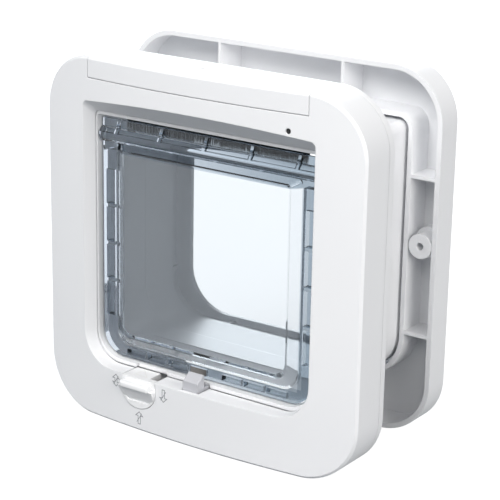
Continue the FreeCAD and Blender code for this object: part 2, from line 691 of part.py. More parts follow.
# Latch
def latch():
    half = LATCH_W / 2
    bottom = LATCH_TOP - LATCH_H
    body = polygon([(LATCH_FRONT_Y, bottom), (LATCH_FRONT_Y, LATCH_TOP - LATCH_SLOPE - 0.6),
                    (LATCH_FRONT_Y + 0.6, LATCH_TOP - LATCH_SLOPE), (LATCH_PEAK_Y, LATCH_TOP),
                    (LATCH_PEAK_Y + 0.8, LATCH_TOP - 0.4),
                    (LATCH_PEAK_Y + 1.2, LATCH_TOP - LATCH_STEP),
                    (LATCH_BACK_Y, LATCH_TOP - LATCH_STEP), (LATCH_BACK_Y, bottom)],
                   -half, half)
    body = bevel(body, 0.5, lambda edge: abs(edge.BoundBox.XMin) == abs(edge.BoundBox.XMax)
                 and edge.BoundBox.XLength < 0.01 and edge.BoundBox.YMax < LATCH_PEAK_Y + 0.01
                 and edge.BoundBox.ZMin > bottom + 1)
    arm = block(-ARM_W / 2, ARM_W / 2, LATCH_BACK_Y - 1, PLUNGER_Y + PLUNGER_R,
                ARM_BOTTOM, ARM_TOP)
    foot = SOLENOID_TOP - PLUNGER_IN
    plunger = rod((0, PLUNGER_Y, foot), PLUNGER_R, ARM_TOP - foot, (0, 0, 1))
    return fuse_all([body, arm, plunger])


def latch_solenoid():
    """Coil with a bore for the plunger, in a folded steel bracket."""
    coil = rod((0, PLUNGER_Y, SOLENOID_BOTTOM + BRACKET_T), SOLENOID_R,
               SOLENOID_H - 2 * BRACKET_T, (0, 0, 1))
    inner = SOLENOID_R + SEAT_GAP
    reach = inner + BRACKET_T
    y0, y1 = PLUNGER_Y - BRACKET_W / 2, PLUNGER_Y + BRACKET_W / 2
    bracket = block(-reach, reach, y0, y1, SOLENOID_BOTTOM, SOLENOID_TOP)
    bracket = bracket.cut(block(-inner, inner, y0 - 1, y1 + 1, SOLENOID_BOTTOM + BRACKET_T,
                                SOLENOID_TOP - BRACKET_T))
    bore = rod((0, PLUNGER_Y, SOLENOID_BOTTOM + BRACKET_T), PLUNGER_R + 0.1, SOLENOID_H,
               (0, 0, 1))
    return bracket.fuse(coil).cut(bore)


def latch_spring():
    """Return spring round the plunger, between solenoid and arm, drawn with flat turns."""
    length = ARM_BOTTOM - SOLENOID_TOP - 0.2 - SPRING_WIRE
    radius = PLUNGER_R + 0.9
    start = SOLENOID_TOP + 0.1 + SPRING_WIRE / 2
    count = SPRING_TURNS * SPRING_POINTS
    points = []
    for i in range(count + 1):
        angle = 2 * math.pi * i / SPRING_POINTS
        points.append(V(radius * math.cos(angle), PLUNGER_Y + radius * math.sin(angle),
                        start + length * i / count))
    half = SPRING_WIRE / 2
    section = [V(radius + a * half, PLUNGER_Y, start + b * half)
               for a, b in ((-1, -1), (1, -1), (1, 1), (-1, 1), (-1, -1))]
    path = Part.makePolygon(points)
    return path.makePipeShell([Part.makePolygon(section)], True, True, 1)


# Lock knob
def lobe(y0, y1, flats):
    """Disc on the knob's axis with flats, the first one upwards."""
    solid = rod((KNOB_X, y0, KNOB_Z), KNOB_R, y1 - y0, (0, 1, 0))
    for angle in flats:
        tool = block(-KNOB_R, KNOB_R, y0 - 1, y1 + 1, KNOB_FLAT, 2 * KNOB_R)
        tool.rotate(V(0, 0, 0), V(0, 1, 0), angle)
        tool.translate(V(KNOB_X, 0, KNOB_Z))
        solid = solid.cut(tool)
    return solid


def knob_scoop(front, bar_bottom):
    """Hollow under the bar, deepest at the bar and running out below."""
    end = KNOB_Z - KNOB_SCOOP_END
    wedge = polygon([(front - 2, bar_bottom), (front + KNOB_SCOOP_DEPTH, bar_bottom),
                     (front + 0.3 * KNOB_SCOOP_DEPTH, end), (front - 2, end)],
                    KNOB_X - KNOB_R, KNOB_X + KNOB_R)
    return wedge.common(rod((KNOB_X, front - 2, KNOB_Z), KNOB_R - 1.6, 10, (0, 1, 0)))


def lock_knob():
    front = face_y(KNOB_X)
    bar_top = KNOB_Z + KNOB_FLAT - KNOB_BAR_DROP
    half = KNOB_BAR_L / 2
    bar = block(KNOB_X - half, KNOB_X + half, front - KNOB_BAR_OUT, front,
                bar_top - KNOB_BAR_T, bar_top)
    bar = bevel(bar, 0.7, lambda edge: edge.BoundBox.YMax < front - KNOB_BAR_OUT + 0.01)
    flange = lobe(front - 0.4, front + KNOB_FLANGE_T, (0,))
    front_lobe = lobe(front + KNOB_FLANGE_T, KNOB_FRONT_LOBE_END, (0, 90))
    body = fuse_all([flange, front_lobe]).cut(knob_scoop(front, bar_top - KNOB_BAR_T))
    rear_lobe = lobe(*KNOB_REAR_LOBE, (0, -90))
    shaft = rod((KNOB_X, KNOB_FRONT_LOBE_END - 1, KNOB_Z), KNOB_SHAFT_R,
                KNOB_REAR_LOBE[0] - KNOB_FRONT_LOBE_END + 2, (0, 1, 0))
    pin = rod((KNOB_X, KNOB_REAR_LOBE[1] - 1, KNOB_Z), KNOB_PIN_R, 3.4, (0, 1, 0))
    return fuse_all([body, bar, rear_lobe, shaft, pin])


def lock_detent():
    """Leaf spring that bears on the knob's shaft."""
    top = KNOB_Z - KNOB_SHAFT_R - DETENT_GAP
    half = DETENT_L / 2
    y1 = DETENT_Y + DETENT_W
    leaf = block(KNOB_X - half, KNOB_X + half, DETENT_Y, y1, top - DETENT_T, top)
    feet = [block(KNOB_X + side * half - DETENT_T / 2, KNOB_X + side * half + DETENT_T / 2,
                  DETENT_Y, y1, top - DETENT_H, top) for side in (-1, 1)]
    return fuse_all([leaf] + feet)


# Electronics
def circuit_board():
    """Board beside and above the throat, with its main components."""
    y0, y1 = BOARD_Y, BOARD_Y + BOARD_T
    x0, x1 = BOARD_START, BOARD_END
    foot = BOARD_FOOT - HALF_H
    main_top = HALF_H - BOARD_TOP
    above = THROAT_TOP + THROAT_WALL + 1.0
    link = x0 + 5
    board = fuse_all([block(x0, x1, y0, y1, foot, main_top),
                      block(x0, link, y0, y1, main_top - 1, above + 1),
                      block(TRAY_END + 3.3, link, y0, y1, above, BUTTON_Z + 1.4)])
    holes = [rod((BOARD_MID, y0 - 1, z), BOARD_SHANK_R + 0.2, 4, (0, 1, 0))
             for z in board_screw_heights()]
    half = SWITCH_W / 2
    part_x = COIL_HALF_W + 1.5
    part_end = x1 - 2
    parts = [block(part_x, part_end, y0 - 1.8, y0 + 0.1, foot + 48, foot + 59),
             block(part_x, (part_x + part_end) / 2, y0 - 2.4, y0 + 0.1, foot + 22, foot + 32),
             block(part_x, part_end, y0 - 1.4, y0 + 0.1, foot + 70, foot + 80),
             block(BUTTON_X - half, BUTTON_X + half, SWITCH_Y, y0 + 0.1,
                   BUTTON_Z - half - 1.8, BUTTON_Z + half - 1.8)]
    return fuse_all([cut_all(board, holes)] + parts)


def board_screws():
    screws = []
    for z in board_screw_heights():
        head = rod((BOARD_MID, BOARD_Y - BOARD_HEAD_T, z), BOARD_HEAD_R, BOARD_HEAD_T, (0, 1, 0))
        shank = rod((BOARD_MID, BOARD_Y - 0.1, z), BOARD_SHANK_R, BOARD_SHANK_L, (0, 1, 0))
        screws.append(head.fuse(shank))
    return Part.makeCompound(screws)


def learn_button():
    """Cap of the button that teaches the reader a new pet."""
    return rod((BUTTON_X, BUTTON_Y[0], BUTTON_Z), BUTTON_R, BUTTON_Y[1] - BUTTON_Y[0], (0, 1, 0))


def status_light():
    front = face_y(LED_X) + 0.5
    return rod((LED_X, front, LED_Z), LED_R, BOARD_Y - front - SEAT_GAP, (0, 1, 0))


def reader_coil():
    """Wound ring of the chip reader, round the throat."""
    top = THROAT_TOP + THROAT_WALL + SEAT_GAP + COIL_T
    outer = prism(outline(COIL_HALF_W, COIL_BOTTOM, top, 14, 6), *COIL_Y)
    inner = prism(outline(COIL_HALF_W - COIL_T, COIL_BOTTOM + COIL_T, top - COIL_T, 10, 2),
                  COIL_Y[0] - 1, COIL_Y[1] + 1)
    return outer.cut(inner)


def housing_screws():
    """Self-tapping screws that hold the rear housing to the bezel."""
    screws = []
    for x, z in SCREW_SPOTS:
        head_y = BACK_Y - SCREW_HEAD_T - 0.4
        head = rod((x, head_y, z), SCREW_HEAD_R, SCREW_HEAD_T, (0, 1, 0))
        shank = rod((x, head_y - SCREW_L + 0.2, z), SCREW_R - 0.05, SCREW_L, (0, 1, 0))
        screws += both_sides(head.fuse(shank))
    return Part.makeCompound(screws)


# Outer frame
def collar(inset, y0, y1):
    offset = COLLAR_GAP + COLLAR_WALL - inset
    wire = outline(TUNNEL_HALF_W + offset, TUNNEL_BOTTOM - offset, TUNNEL_TOP + offset,
                   COLLAR_BOTTOM_R - inset, COLLAR_TOP_R - inset)
    return prism(wire, y0, y1)


def out_ribs(reach):
    """Ribs between the collar and the rim."""
    top = OUT_Z + HALF_H - OUT_WALL / 2
    bottom = OUT_Z - HALF_H + OUT_WALL / 2
    collar_x = TUNNEL_HALF_W + COLLAR_GAP + COLLAR_WALL / 2
    collar_top = TUNNEL_TOP + COLLAR_GAP + COLLAR_WALL / 2
    collar_bottom = TUNNEL_BOTTOM - COLLAR_GAP - COLLAR_WALL / 2
    ribs = []
    for z0, z1 in ((collar_top, top), (bottom, collar_bottom)):
        ribs += both_sides(block(TOP_RIB_X - RIB_T / 2, TOP_RIB_X + RIB_T / 2,
                                 OUT_FRONT_Y, reach, z0, z1))
    for z in (OUT_Z - SIDE_RIB_Z, OUT_Z + SIDE_RIB_Z):
        ribs += both_sides(block(collar_x, HALF_W - OUT_WALL / 2, OUT_FRONT_Y, reach,
                                 z - RIB_T / 2, z + RIB_T / 2))
    return ribs


def collar_guides(reach):
    """Low ribs inside the collar that bear on the tunnel."""
    y0 = OUT_FRONT_Y + 3
    half = TUNNEL_HALF_W + GUIDE_GAP
    wall = TUNNEL_HALF_W + COLLAR_GAP + 0.5
    guides = []
    for z0, z1 in ((TUNNEL_TOP + GUIDE_GAP, TUNNEL_TOP + COLLAR_GAP + 0.5),
                   (TUNNEL_BOTTOM - COLLAR_GAP - 0.5, TUNNEL_BOTTOM - GUIDE_GAP)):
        guides += both_sides(block(TOP_RIB_X - RIB_T / 2, TOP_RIB_X + RIB_T / 2, y0, reach,
                                   z0, z1))
    for z in (OUT_Z - SIDE_RIB_Z, OUT_Z + SIDE_RIB_Z):
        guides += both_sides(block(half, wall, y0, reach, z - RIB_T / 2, z + RIB_T / 2))
    return guides


def exterior_frame():
    reach = OUT_BACK_Y + OUT_BULGE + 1
    block_out = frame_prism(0, OUT_FRONT_Y, reach, OUT_CORNER_R, OUT_Z).common(out_drum(0))
    body = bevel(block_out, OUT_BEVEL, lambda edge: edge.BoundBox.YMin > OUT_BACK_Y - 0.01)
    inside = out_drum(OUT_WEB)
    hollow = frame_prism(OUT_WALL, OUT_FRONT_Y - 1, reach, OUT_CORNER_R, OUT_Z).common(inside)
    shell = body.cut(hollow)
    wall = collar(0, OUT_FRONT_Y, reach).cut(collar(COLLAR_WALL, OUT_FRONT_Y - 1, reach))
    bosses = both_sides(rod((FIXING_X, OUT_FRONT_Y, FIXING_Z), BOSS_R, reach, (0, 1, 0)))
    bosses += both_sides(rod((FIXING_X, OUT_BACK_Y - 9, FIXING_Z), BOSS_R + 1.6, reach,
                             (0, 1, 0)))
    works = [wall] + bosses + out_ribs(reach) + collar_guides(reach)
    lining = out_drum(OUT_WEB / 2)
    full = fuse_all([shell] + [piece.common(lining) for piece in works])
    holes = [prism(outline(EXIT_HALF_W, EXIT_BOTTOM, EXIT_TOP, EXIT_BOTTOM_R, EXIT_TOP_R),
                   OUT_FRONT_Y, reach)]
    holes += both_sides(rod((FIXING_X, OUT_FRONT_Y - 1, FIXING_Z), FIXING_HOLE_R, reach,
                            (0, 1, 0)))
    holes += both_sides(rod((FIXING_X, OUT_BACK_Y - 3, FIXING_Z), 4.0, reach, (0, 1, 0)))
    return cut_all(full, holes)


# Every part by its name
PARTS = {
    "front_bezel": front_bezel,
    "rear_housing": rear_housing,
    "battery_cover": battery_cover,
    "battery_tray": battery_tray,
    "battery_contacts": battery_contacts,
    "circuit_board": circuit_board,
    "board_screws": board_screws,
    "learn_button": learn_button,
    "status_light": status_light,
    "reader_coil": reader_coil,
    "flap": flap,
    "flap_magnet": flap_magnet,
    "sill_magnet": sill_magnet,
    "brush_strip": brush_strip,
    "latch": latch,
    "latch_solenoid": latch_solenoid,
    "latch_spring": latch_spring,
    "lock_knob": lock_knob,
    "lock_detent": lock_detent,
    "housing_screws": housing_screws,
    "exterior_frame": exterior_frame,
}
CELLS = {
    "aa_cell_left_low": (-1, CELL_LOW),
    "aa_cell_left_high": (-1, CELL_HIGH),
    "aa_cell_right_low": (1, CELL_LOW),
    "aa_cell_right_high": (1, CELL_HIGH),
}


def base_shift():
    """Moves the model so that its origin is the middle of its base."""
    front = min(-BULGE, face_y(KNOB_X) - KNOB_BAR_OUT)
    back = OUT_BACK_Y + OUT_BULGE
    return V(0, -(front + back) / 2, HALF_H)


def save(name, shape, shift):
    shape.translate(shift)
    shape.exportStep("parts/" + name + ".step")


def main():
    os.makedirs("parts", exist_ok=True)
    shift = base_shift()
    for name, build in PARTS.items():
        save(name, build(), shift)
    for name, (side, place) in CELLS.items():
        save(name, aa_cell(side, place), shift)


main()
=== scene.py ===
# %% [markdown]
# A cat flap for a house door, ready to fit: the inner unit with its curved white face stands
# in front, its tunnel runs back, and the outer frame sits on the end of the tunnel.
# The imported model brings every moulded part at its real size, so this file adds what
# modelling tools do better: surfaces, printed marks, brush hairs, light and the camera.

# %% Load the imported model
import math
import bpy
from mathutils import Matrix, Vector


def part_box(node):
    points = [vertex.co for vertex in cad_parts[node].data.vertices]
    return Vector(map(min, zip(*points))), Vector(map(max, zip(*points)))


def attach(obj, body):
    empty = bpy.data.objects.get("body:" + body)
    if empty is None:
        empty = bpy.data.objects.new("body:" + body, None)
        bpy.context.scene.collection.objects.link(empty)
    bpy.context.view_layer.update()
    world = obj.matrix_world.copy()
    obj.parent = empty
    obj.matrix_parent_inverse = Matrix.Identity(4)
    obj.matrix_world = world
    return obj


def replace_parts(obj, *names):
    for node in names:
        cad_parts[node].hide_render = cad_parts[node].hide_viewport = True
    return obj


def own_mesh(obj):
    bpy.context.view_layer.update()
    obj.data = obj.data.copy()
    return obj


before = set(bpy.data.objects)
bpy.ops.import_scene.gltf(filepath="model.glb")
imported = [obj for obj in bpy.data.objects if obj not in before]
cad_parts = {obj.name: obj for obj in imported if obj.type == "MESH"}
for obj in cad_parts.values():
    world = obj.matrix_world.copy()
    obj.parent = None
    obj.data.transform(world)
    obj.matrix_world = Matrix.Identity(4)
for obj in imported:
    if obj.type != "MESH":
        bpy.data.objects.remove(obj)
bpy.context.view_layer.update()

MM = 0.001
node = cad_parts

# %% [markdown]
# Colours are picked as a person reads them, as sRGB hex codes, and Cycles works in linear
# light, so one function turns the first into the second. A second function adds any shader
# node, with its properties and its sockets, so that each material below stays a short list.

# %% Helpers for colours and shader nodes


def linear(code):
    """sRGB hex code to a linear RGBA colour."""
    channels = [int(code[i:i + 2], 16) / 255 for i in (1, 3, 5)]
    rgb = [c / 12.92 if c < 0.04045 else ((c + 0.055) / 1.055) ** 2.4 for c in channels]
    return (*rgb, 1.0)


def add_node(tree, kind, sockets=None, **settings):
    """Adds a shader node. A socket's value is a number, a colour or another node's output."""
    new = tree.nodes.new("ShaderNode" + kind)
    for name, value in settings.items():
        setattr(new, name, value)
    for name, value in (sockets or {}).items():
        if isinstance(value, bpy.types.NodeSocket):
            tree.links.new(value, new.inputs[name])
        else:
            new.inputs[name].default_value = value
    return new


def new_material(name):
    """A material with an empty Principled surface, and the object's own coordinates."""
    made = bpy.data.materials.new(name)
    made.use_nodes = True
    tree = made.node_tree
    surface = tree.nodes["Principled BSDF"]
    place = add_node(tree, "TexCoord").outputs["Object"]
    return made, tree, surface, place


def finish_with(pieces, material):
    """Gives every named CAD node one material."""
    for name in pieces:
        node[name].data.materials.clear()
        node[name].data.materials.append(material)
    print(material.name, "on", ", ".join(pieces))


print("white ABS, linear:", [round(c, 3) for c in linear("#f0f1f3")])

# %% [markdown]
# The housing is injection-moulded ABS, white with a trace of blue. Its tool was spark
# eroded, which leaves a grain of about 0.5 mm that softens each highlight. A very weak
# change of tone over some seven centimetres keeps large faces from looking computed. No moulded
# edge is sharp, so a bevel in the shader rounds every edge by most of a millimetre. ABS has
# an IOR of 1.54.

# %% Moulded white ABS


def moulded_abs(name, base, shade, roughness, grain_mm=0.5, depth_mm=0.012, edge_mm=0.7):
    made, tree, surface, place = new_material(name)
    tone = add_node(tree, "TexNoise", {"Vector": place, "Scale": 1 / (70 * MM),
                                       "Detail": 1.0})
    mixed = add_node(tree, "Mix", {"Factor": tone.outputs["Fac"], "A": linear(base),
                                   "B": linear(shade)}, data_type="RGBA")
    tree.links.new(mixed.outputs["Result"], surface.inputs["Base Color"])
    grain = add_node(tree, "TexNoise", {"Vector": place, "Scale": 1 / (grain_mm * MM),
                                        "Detail": 2.0, "Roughness": 0.6})
    rounded = add_node(tree, "Bevel", {"Radius": edge_mm * MM}, samples=6)
    bump = add_node(tree, "Bump", {"Height": grain.outputs["Fac"], "Strength": 0.25,
                                   "Distance": depth_mm * MM,
                                   "Normal": rounded.outputs["Normal"]})
    tree.links.new(bump.outputs["Normal"], surface.inputs["Normal"])
    surface.inputs["Roughness"].default_value = roughness
    surface.inputs["IOR"].default_value = 1.54
    return made


white_abs = moulded_abs("moulded_white_abs", "#f1f2f4", "#ecedf0", 0.38)
knob_abs = moulded_abs("polished_white_abs", "#f3f4f5", "#f0f1f3", 0.25, depth_mm=0.004)
tray_abs = moulded_abs("grey_abs", "#8f9296", "#86898e", 0.5)
finish_with(["front_bezel", "rear_housing", "battery_cover", "exterior_frame"], white_abs)
finish_with(["lock_knob"], knob_abs)
finish_with(["battery_tray", "learn_button"], tray_abs)

# %% [markdown]
# The flap is one clear polycarbonate moulding with a smoke-blue tint, IOR 1.58. Its colour
# shows where the light runs a long way inside it, in the rim, the ledge and the hinge bar,
# while the thin panel looks nearly colourless. An absorption in the volume gives part of
# that, and the surface has a tint of its own, picked by the place on the flap: faint on the
# panel and more beyond it, for the thick rim. Beyond the panel it also darkens towards the
# right, which is painted shade of the shaded recess wall seen through the right rim. The
# real one is polished, with a little unevenness that moves its reflections.

# %% Clear polycarbonate


PANEL_HALF = 61.9 * MM
PANEL_LOW = 42.4 * MM
PANEL_HIGH = 156.2 * MM


def clear_polycarbonate(name, tint, depth, roughness):
    made, tree, surface, place = new_material(name)
    ripple = add_node(tree, "TexNoise", {"Vector": place, "Scale": 1 / (9 * MM),
                                         "Detail": 1.0})
    bump = add_node(tree, "Bump", {"Height": ripple.outputs["Fac"], "Strength": 0.2,
                                   "Distance": 0.03 * MM})
    tree.links.new(bump.outputs["Normal"], surface.inputs["Normal"])
    surface.inputs["Base Color"].default_value = (1, 1, 1, 1)
    surface.inputs["Transmission Weight"].default_value = 1.0
    surface.inputs["Roughness"].default_value = roughness
    surface.inputs["IOR"].default_value = 1.58
    inside = add_node(tree, "VolumeAbsorption", {"Color": linear(tint), "Density": depth})
    tree.links.new(inside.outputs["Volume"], tree.nodes["Material Output"].inputs["Volume"])
    return made


def tint_and_painted_shade_by_place(made, panel, left_rim, right_rim_painted_shade):
    """Tints the thin panel faintly and what lies beyond it more, darker to the right as painted
    shade.
    """
    tree = made.node_tree
    place = tree.nodes["Texture Coordinate"].outputs["Object"]
    part = add_node(tree, "SeparateXYZ", {"Vector": place})
    side = add_node(tree, "Math", {0: part.outputs["X"]}, operation="ABSOLUTE")
    beside = add_node(tree, "Math", {0: side.outputs["Value"], 1: PANEL_HALF},
                      operation="GREATER_THAN")
    under = add_node(tree, "Math", {0: part.outputs["Z"], 1: PANEL_LOW}, operation="LESS_THAN")
    over = add_node(tree, "Math", {0: part.outputs["Z"], 1: PANEL_HIGH},
                    operation="GREATER_THAN")
    ends = add_node(tree, "Math", {0: under.outputs["Value"], 1: over.outputs["Value"]},
                    operation="MAXIMUM")
    outside = add_node(tree, "Math", {0: ends.outputs["Value"], 1: beside.outputs["Value"]},
                       operation="MAXIMUM")
    # beyond the panel the tint darkens towards +X: painted shade of the shaded recess wall
    # behind the right rim
    across = add_node(tree, "MapRange", {"Value": part.outputs["X"],
                                         "From Min": -PANEL_HALF, "From Max": PANEL_HALF})
    rim = add_node(tree, "Mix", {"Factor": across.outputs["Result"], "A": linear(left_rim),
                                 "B": linear(right_rim_painted_shade)}, data_type="RGBA")
    mixed = add_node(tree, "Mix", {"Factor": outside.outputs["Value"], "A": linear(panel),
                                   "B": rim.outputs["Result"]}, data_type="RGBA")
    tree.links.new(mixed.outputs["Result"], tree.nodes["Principled BSDF"].inputs["Base Color"])


flap_clear = clear_polycarbonate("clear_polycarbonate", "#9db0c2", 22.0, 0.015)
# the dark blue-grey at the right is painted shade, not a thicker rim
tint_and_painted_shade_by_place(flap_clear, "#f3f7fa", "#e4ecf5", "#a0adb8")
finish_with(["flap"], flap_clear)
finish_with(["status_light"], clear_polycarbonate("smoked_light_pipe", "#5a1a1c", 400.0, 0.1))

# %% [markdown]
# The latch is acetal, a harder and slightly waxy plastic in pale grey.

# %% Pale grey acetal
latch_acetal = moulded_abs("grey_acetal", "#c0c1c6", "#bbbcc2", 0.3, depth_mm=0.004,
                           edge_mm=0.5)
finish_with(["latch"], latch_acetal)

# %% [markdown]
# Metal parts hide inside or show only at the back. Nickel plate is a bright, slightly warm
# metal, zinc plate is duller and blotched, and the two magnets have a dark nickel. Each
# gets fine scratches from a noise that is stretched along one axis.

# %% Plated metals


def plated_metal(name, base, roughness, stretch=(1.0, 12.0, 1.0)):
    made, tree, surface, place = new_material(name)
    turned = add_node(tree, "Mapping", {"Vector": place, "Scale": stretch})
    lines = add_node(tree, "TexNoise", {"Vector": turned.outputs["Vector"],
                                        "Scale": 1 / (4 * MM), "Detail": 3.0})
    worn = add_node(tree, "MapRange", {"Value": lines.outputs["Fac"],
                                       "To Min": roughness - 0.08,
                                       "To Max": roughness + 0.1})
    tree.links.new(worn.outputs["Result"], surface.inputs["Roughness"])
    surface.inputs["Base Color"].default_value = linear(base)
    surface.inputs["Metallic"].default_value = 1.0
    return made


nickel = plated_metal("nickel_plate", "#c9c6c0", 0.25)
zinc = plated_metal("zinc_plate", "#a9adb2", 0.38)
finish_with(["battery_contacts", "board_screws"], nickel)
finish_with(["flap_magnet", "sill_magnet"], plated_metal("dark_nickel", "#8a8784", 0.4))
finish_with(["housing_screws", "latch_solenoid", "latch_spring", "lock_detent"], zinc)

# %% [markdown]
# The cells wear a shrunk plastic sleeve, here plain and dark, and the board is glass fibre
# under green solder mask. The reader coil is enamelled copper, wound in many turns that show
# as fine lines.

# %% Cells, board and coil


WAVE_SCALE = 3.2


def banded(name, low, high, band_mm, roughness, metallic):
    """Two colours in slanting bands, each about band_mm wide along an axis."""
    made, tree, surface, place = new_material(name)
    bands = add_node(tree, "TexWave", {"Vector": place,
                                       "Scale": 1 / (band_mm * MM * WAVE_SCALE),
                                       "Distortion": 0.2}, bands_direction="DIAGONAL")
    mixed = add_node(tree, "Mix", {"Factor": bands.outputs["Fac"], "A": linear(low),
                                   "B": linear(high)}, data_type="RGBA")
    tree.links.new(mixed.outputs["Result"], surface.inputs["Base Color"])
    surface.inputs["Roughness"].default_value = roughness
    surface.inputs["Metallic"].default_value = metallic
    return made


finish_with(["aa_cell_left_low", "aa_cell_left_high", "aa_cell_right_low",
             "aa_cell_right_high"], moulded_abs("cell_sleeve", "#2d3136", "#24282c", 0.3))
finish_with(["circuit_board"], moulded_abs("solder_mask", "#1f5a35", "#1a4c2d", 0.3))
finish_with(["reader_coil"], banded("enamelled_copper", "#8a4a26", "#b56a3a", 0.4, 0.35,
                                    0.8))

# %% [markdown]
# New pieces are modelled as by hand: a primitive is added at its size, its faces or points
# are picked by their place, and edit-mode operators shape them. These helpers open a piece
# with only the wanted parts selected, and close it with its place in its mesh, its material
# and the body that it rides on. Places are given in the measuring frame of the fitting,
# whose Y is 0 at the side edges of the inner face and whose Z is 0 at mid-height.

# %% Helpers for modelling
SHIFT = Vector((0.0, -43.587, 105.0))


def at(x, y, z):
    """A point in the measuring frame, in millimetres, as the scene's metres."""
    return (Vector((x, y, z)) + SHIFT) * MM


def nothing_selected():
    if bpy.context.mode != "OBJECT":
        bpy.ops.object.mode_set(mode="OBJECT")
    bpy.ops.object.select_all(action="DESELECT")


def named(name):
    """Names the primitive that was just added."""
    piece = bpy.context.active_object
    piece.name = piece.data.name = name
    return piece


def pick(piece, wanted, kind="VERT"):
    """Opens the piece in edit mode with only the wanted points or faces selected."""
    nothing_selected()
    bpy.context.view_layer.objects.active = piece
    piece.select_set(True)
    bpy.ops.object.mode_set(mode="EDIT")
    bpy.ops.mesh.select_mode(type=kind)
    bpy.ops.mesh.select_all(action="DESELECT")
    bpy.ops.object.mode_set(mode="OBJECT")
    if kind == "VERT":
        for point in piece.data.vertices:
            point.select = wanted(point.co)
    else:
        for face in piece.data.polygons:
            face.select = wanted(face.center)
    bpy.ops.object.mode_set(mode="EDIT")


def everything(place):
    return True


def apply_all(piece):
    """Applies the piece's modifiers, and then its place, turn and scale."""
    nothing_selected()
    bpy.context.view_layer.objects.active = piece
    piece.select_set(True)
    for modifier in list(piece.modifiers):
        bpy.ops.object.modifier_apply(modifier=modifier.name)
    bpy.ops.object.transform_apply(location=True, rotation=True, scale=True)


def copy_of(piece, place, turn=(0.0, 0.0, 0.0)):
    """A copy with its own mesh, at a new place and turn."""
    double = piece.copy()
    double.data = piece.data.copy()
    bpy.context.scene.collection.objects.link(double)
    double.location = place
    double.rotation_euler = turn
    return double


def joined(pieces, name):
    nothing_selected()
    for piece in pieces:
        piece.select_set(True)
    bpy.context.view_layer.objects.active = pieces[0]
    bpy.ops.object.join()
    return named(name)


def finish_piece(piece, material, body):
    apply_all(piece)
    piece.data.materials.clear()
    piece.data.materials.append(material)
    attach(piece, body)
    print(piece.name, "faces:", len(piece.data.polygons))
    return piece


# %% [markdown]
# The draught brush behind the flap's fin closes the gap above the hinge. It shows through
# the clear fin as dark hairs below a folded holder, so the plain solid gets replaced. One
# hair is a four-sided cone that hangs tip down. An Array modifier repeats it along the
# strip, the tips are moved about at random as real ones are, and six such rows stand one
# behind the other.

# %% Nylon brush
HAIR_PITCH = 0.4
HAIR_R = 0.19
HAIR_ROWS = 6
ROW_MARGIN = 0.5
TIP_SPREAD = 0.35
TIP_ZONE = 0.1
HOLDER_H = 2.7
GRIP = 0.6
GROOVE_WALL = 0.5
HOLDER_ROUND = 0.3


def nylon(name, base, tip):
    made, tree, surface, place = new_material(name)
    speck = add_node(tree, "TexNoise", {"Vector": place, "Scale": 1 / (0.7 * MM)})
    mixed = add_node(tree, "Mix", {"Factor": speck.outputs["Fac"], "A": linear(base),
                                   "B": linear(tip)}, data_type="RGBA")
    tree.links.new(mixed.outputs["Result"], surface.inputs["Base Color"])
    surface.inputs["Roughness"].default_value = 0.7
    surface.inputs["Specular IOR Level"].default_value = 0.25
    return made


def hair_row(low, high, root_z, y, seed):
    """One row of hairs from a cone, repeated and then made uneven at the tips."""
    length = root_z - low.z
    nothing_selected()
    bpy.ops.mesh.primitive_cone_add(vertices=4, radius1=HAIR_R * MM, radius2=0.0, depth=length,
                                    rotation=(math.pi, 0, 0),
                                    location=(low.x + HAIR_PITCH * MM / 2, y,
                                              root_z - length / 2))
    row = named("hair_row")
    apply_all(row)
    repeat = row.modifiers.new("repeat", "ARRAY")
    repeat.use_relative_offset = False
    repeat.use_constant_offset = True
    repeat.constant_offset_displace = (HAIR_PITCH * MM, 0, 0)
    repeat.count = int((high.x - low.x) / (HAIR_PITCH * MM))
    apply_all(row)
    pick(row, lambda place: place.z < low.z + TIP_ZONE * MM)
    bpy.ops.transform.vertex_random(offset=TIP_SPREAD * MM, seed=seed)
    bpy.ops.transform.translate(value=(0, 0, TIP_SPREAD * MM))
    nothing_selected()
    return row


def brush_hairs(low, high, root_z, material):
    first = low.y + ROW_MARGIN * MM
    step = (high.y - low.y - 2 * ROW_MARGIN * MM) / HAIR_ROWS
    rows = [hair_row(low, high, root_z, first + (i + 0.5) * step, i + 1)
            for i in range(HAIR_ROWS)]
    return finish_piece(joined(rows, "brush_hairs"), material, "inner_unit")


def brush_holder(low, high, root_z, material):
    """A bar with rounded long edges, and a groove below in which the hairs are gripped."""
    size = high - low
    tall = high.z - root_z + GRIP * MM
    nothing_selected()
    bpy.ops.mesh.primitive_cube_add(size=1, location=(low.x + size.x / 2, low.y + size.y / 2,
                                                      high.z - tall / 2),
                                    scale=(size.x, size.y, tall))
    holder = named("brush_holder")
    apply_all(holder)
    pick(holder, lambda place: place.z < high.z - 0.99 * tall, "FACE")
    bpy.ops.mesh.inset(thickness=GROOVE_WALL * MM)
    bpy.ops.transform.translate(value=(0, 0, GRIP * MM))
    nothing_selected()
    rounding = holder.modifiers.new("rounding", "BEVEL")
    rounding.width = HOLDER_ROUND * MM
    rounding.segments = 3
    rounding.limit_method = "ANGLE"
    return finish_piece(holder, material, "inner_unit")


brush_nylon = nylon("black_nylon", "#0c0d0f", "#16181b")
finish_with(["brush_strip"], brush_nylon)
low, high = [Vector(corner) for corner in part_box("brush_strip")]
root_z = high.z - HOLDER_H * MM
hairs = brush_hairs(low, high, root_z, brush_nylon)
brush_holder(low, high, root_z, brush_nylon)
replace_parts(hairs, "brush_strip")
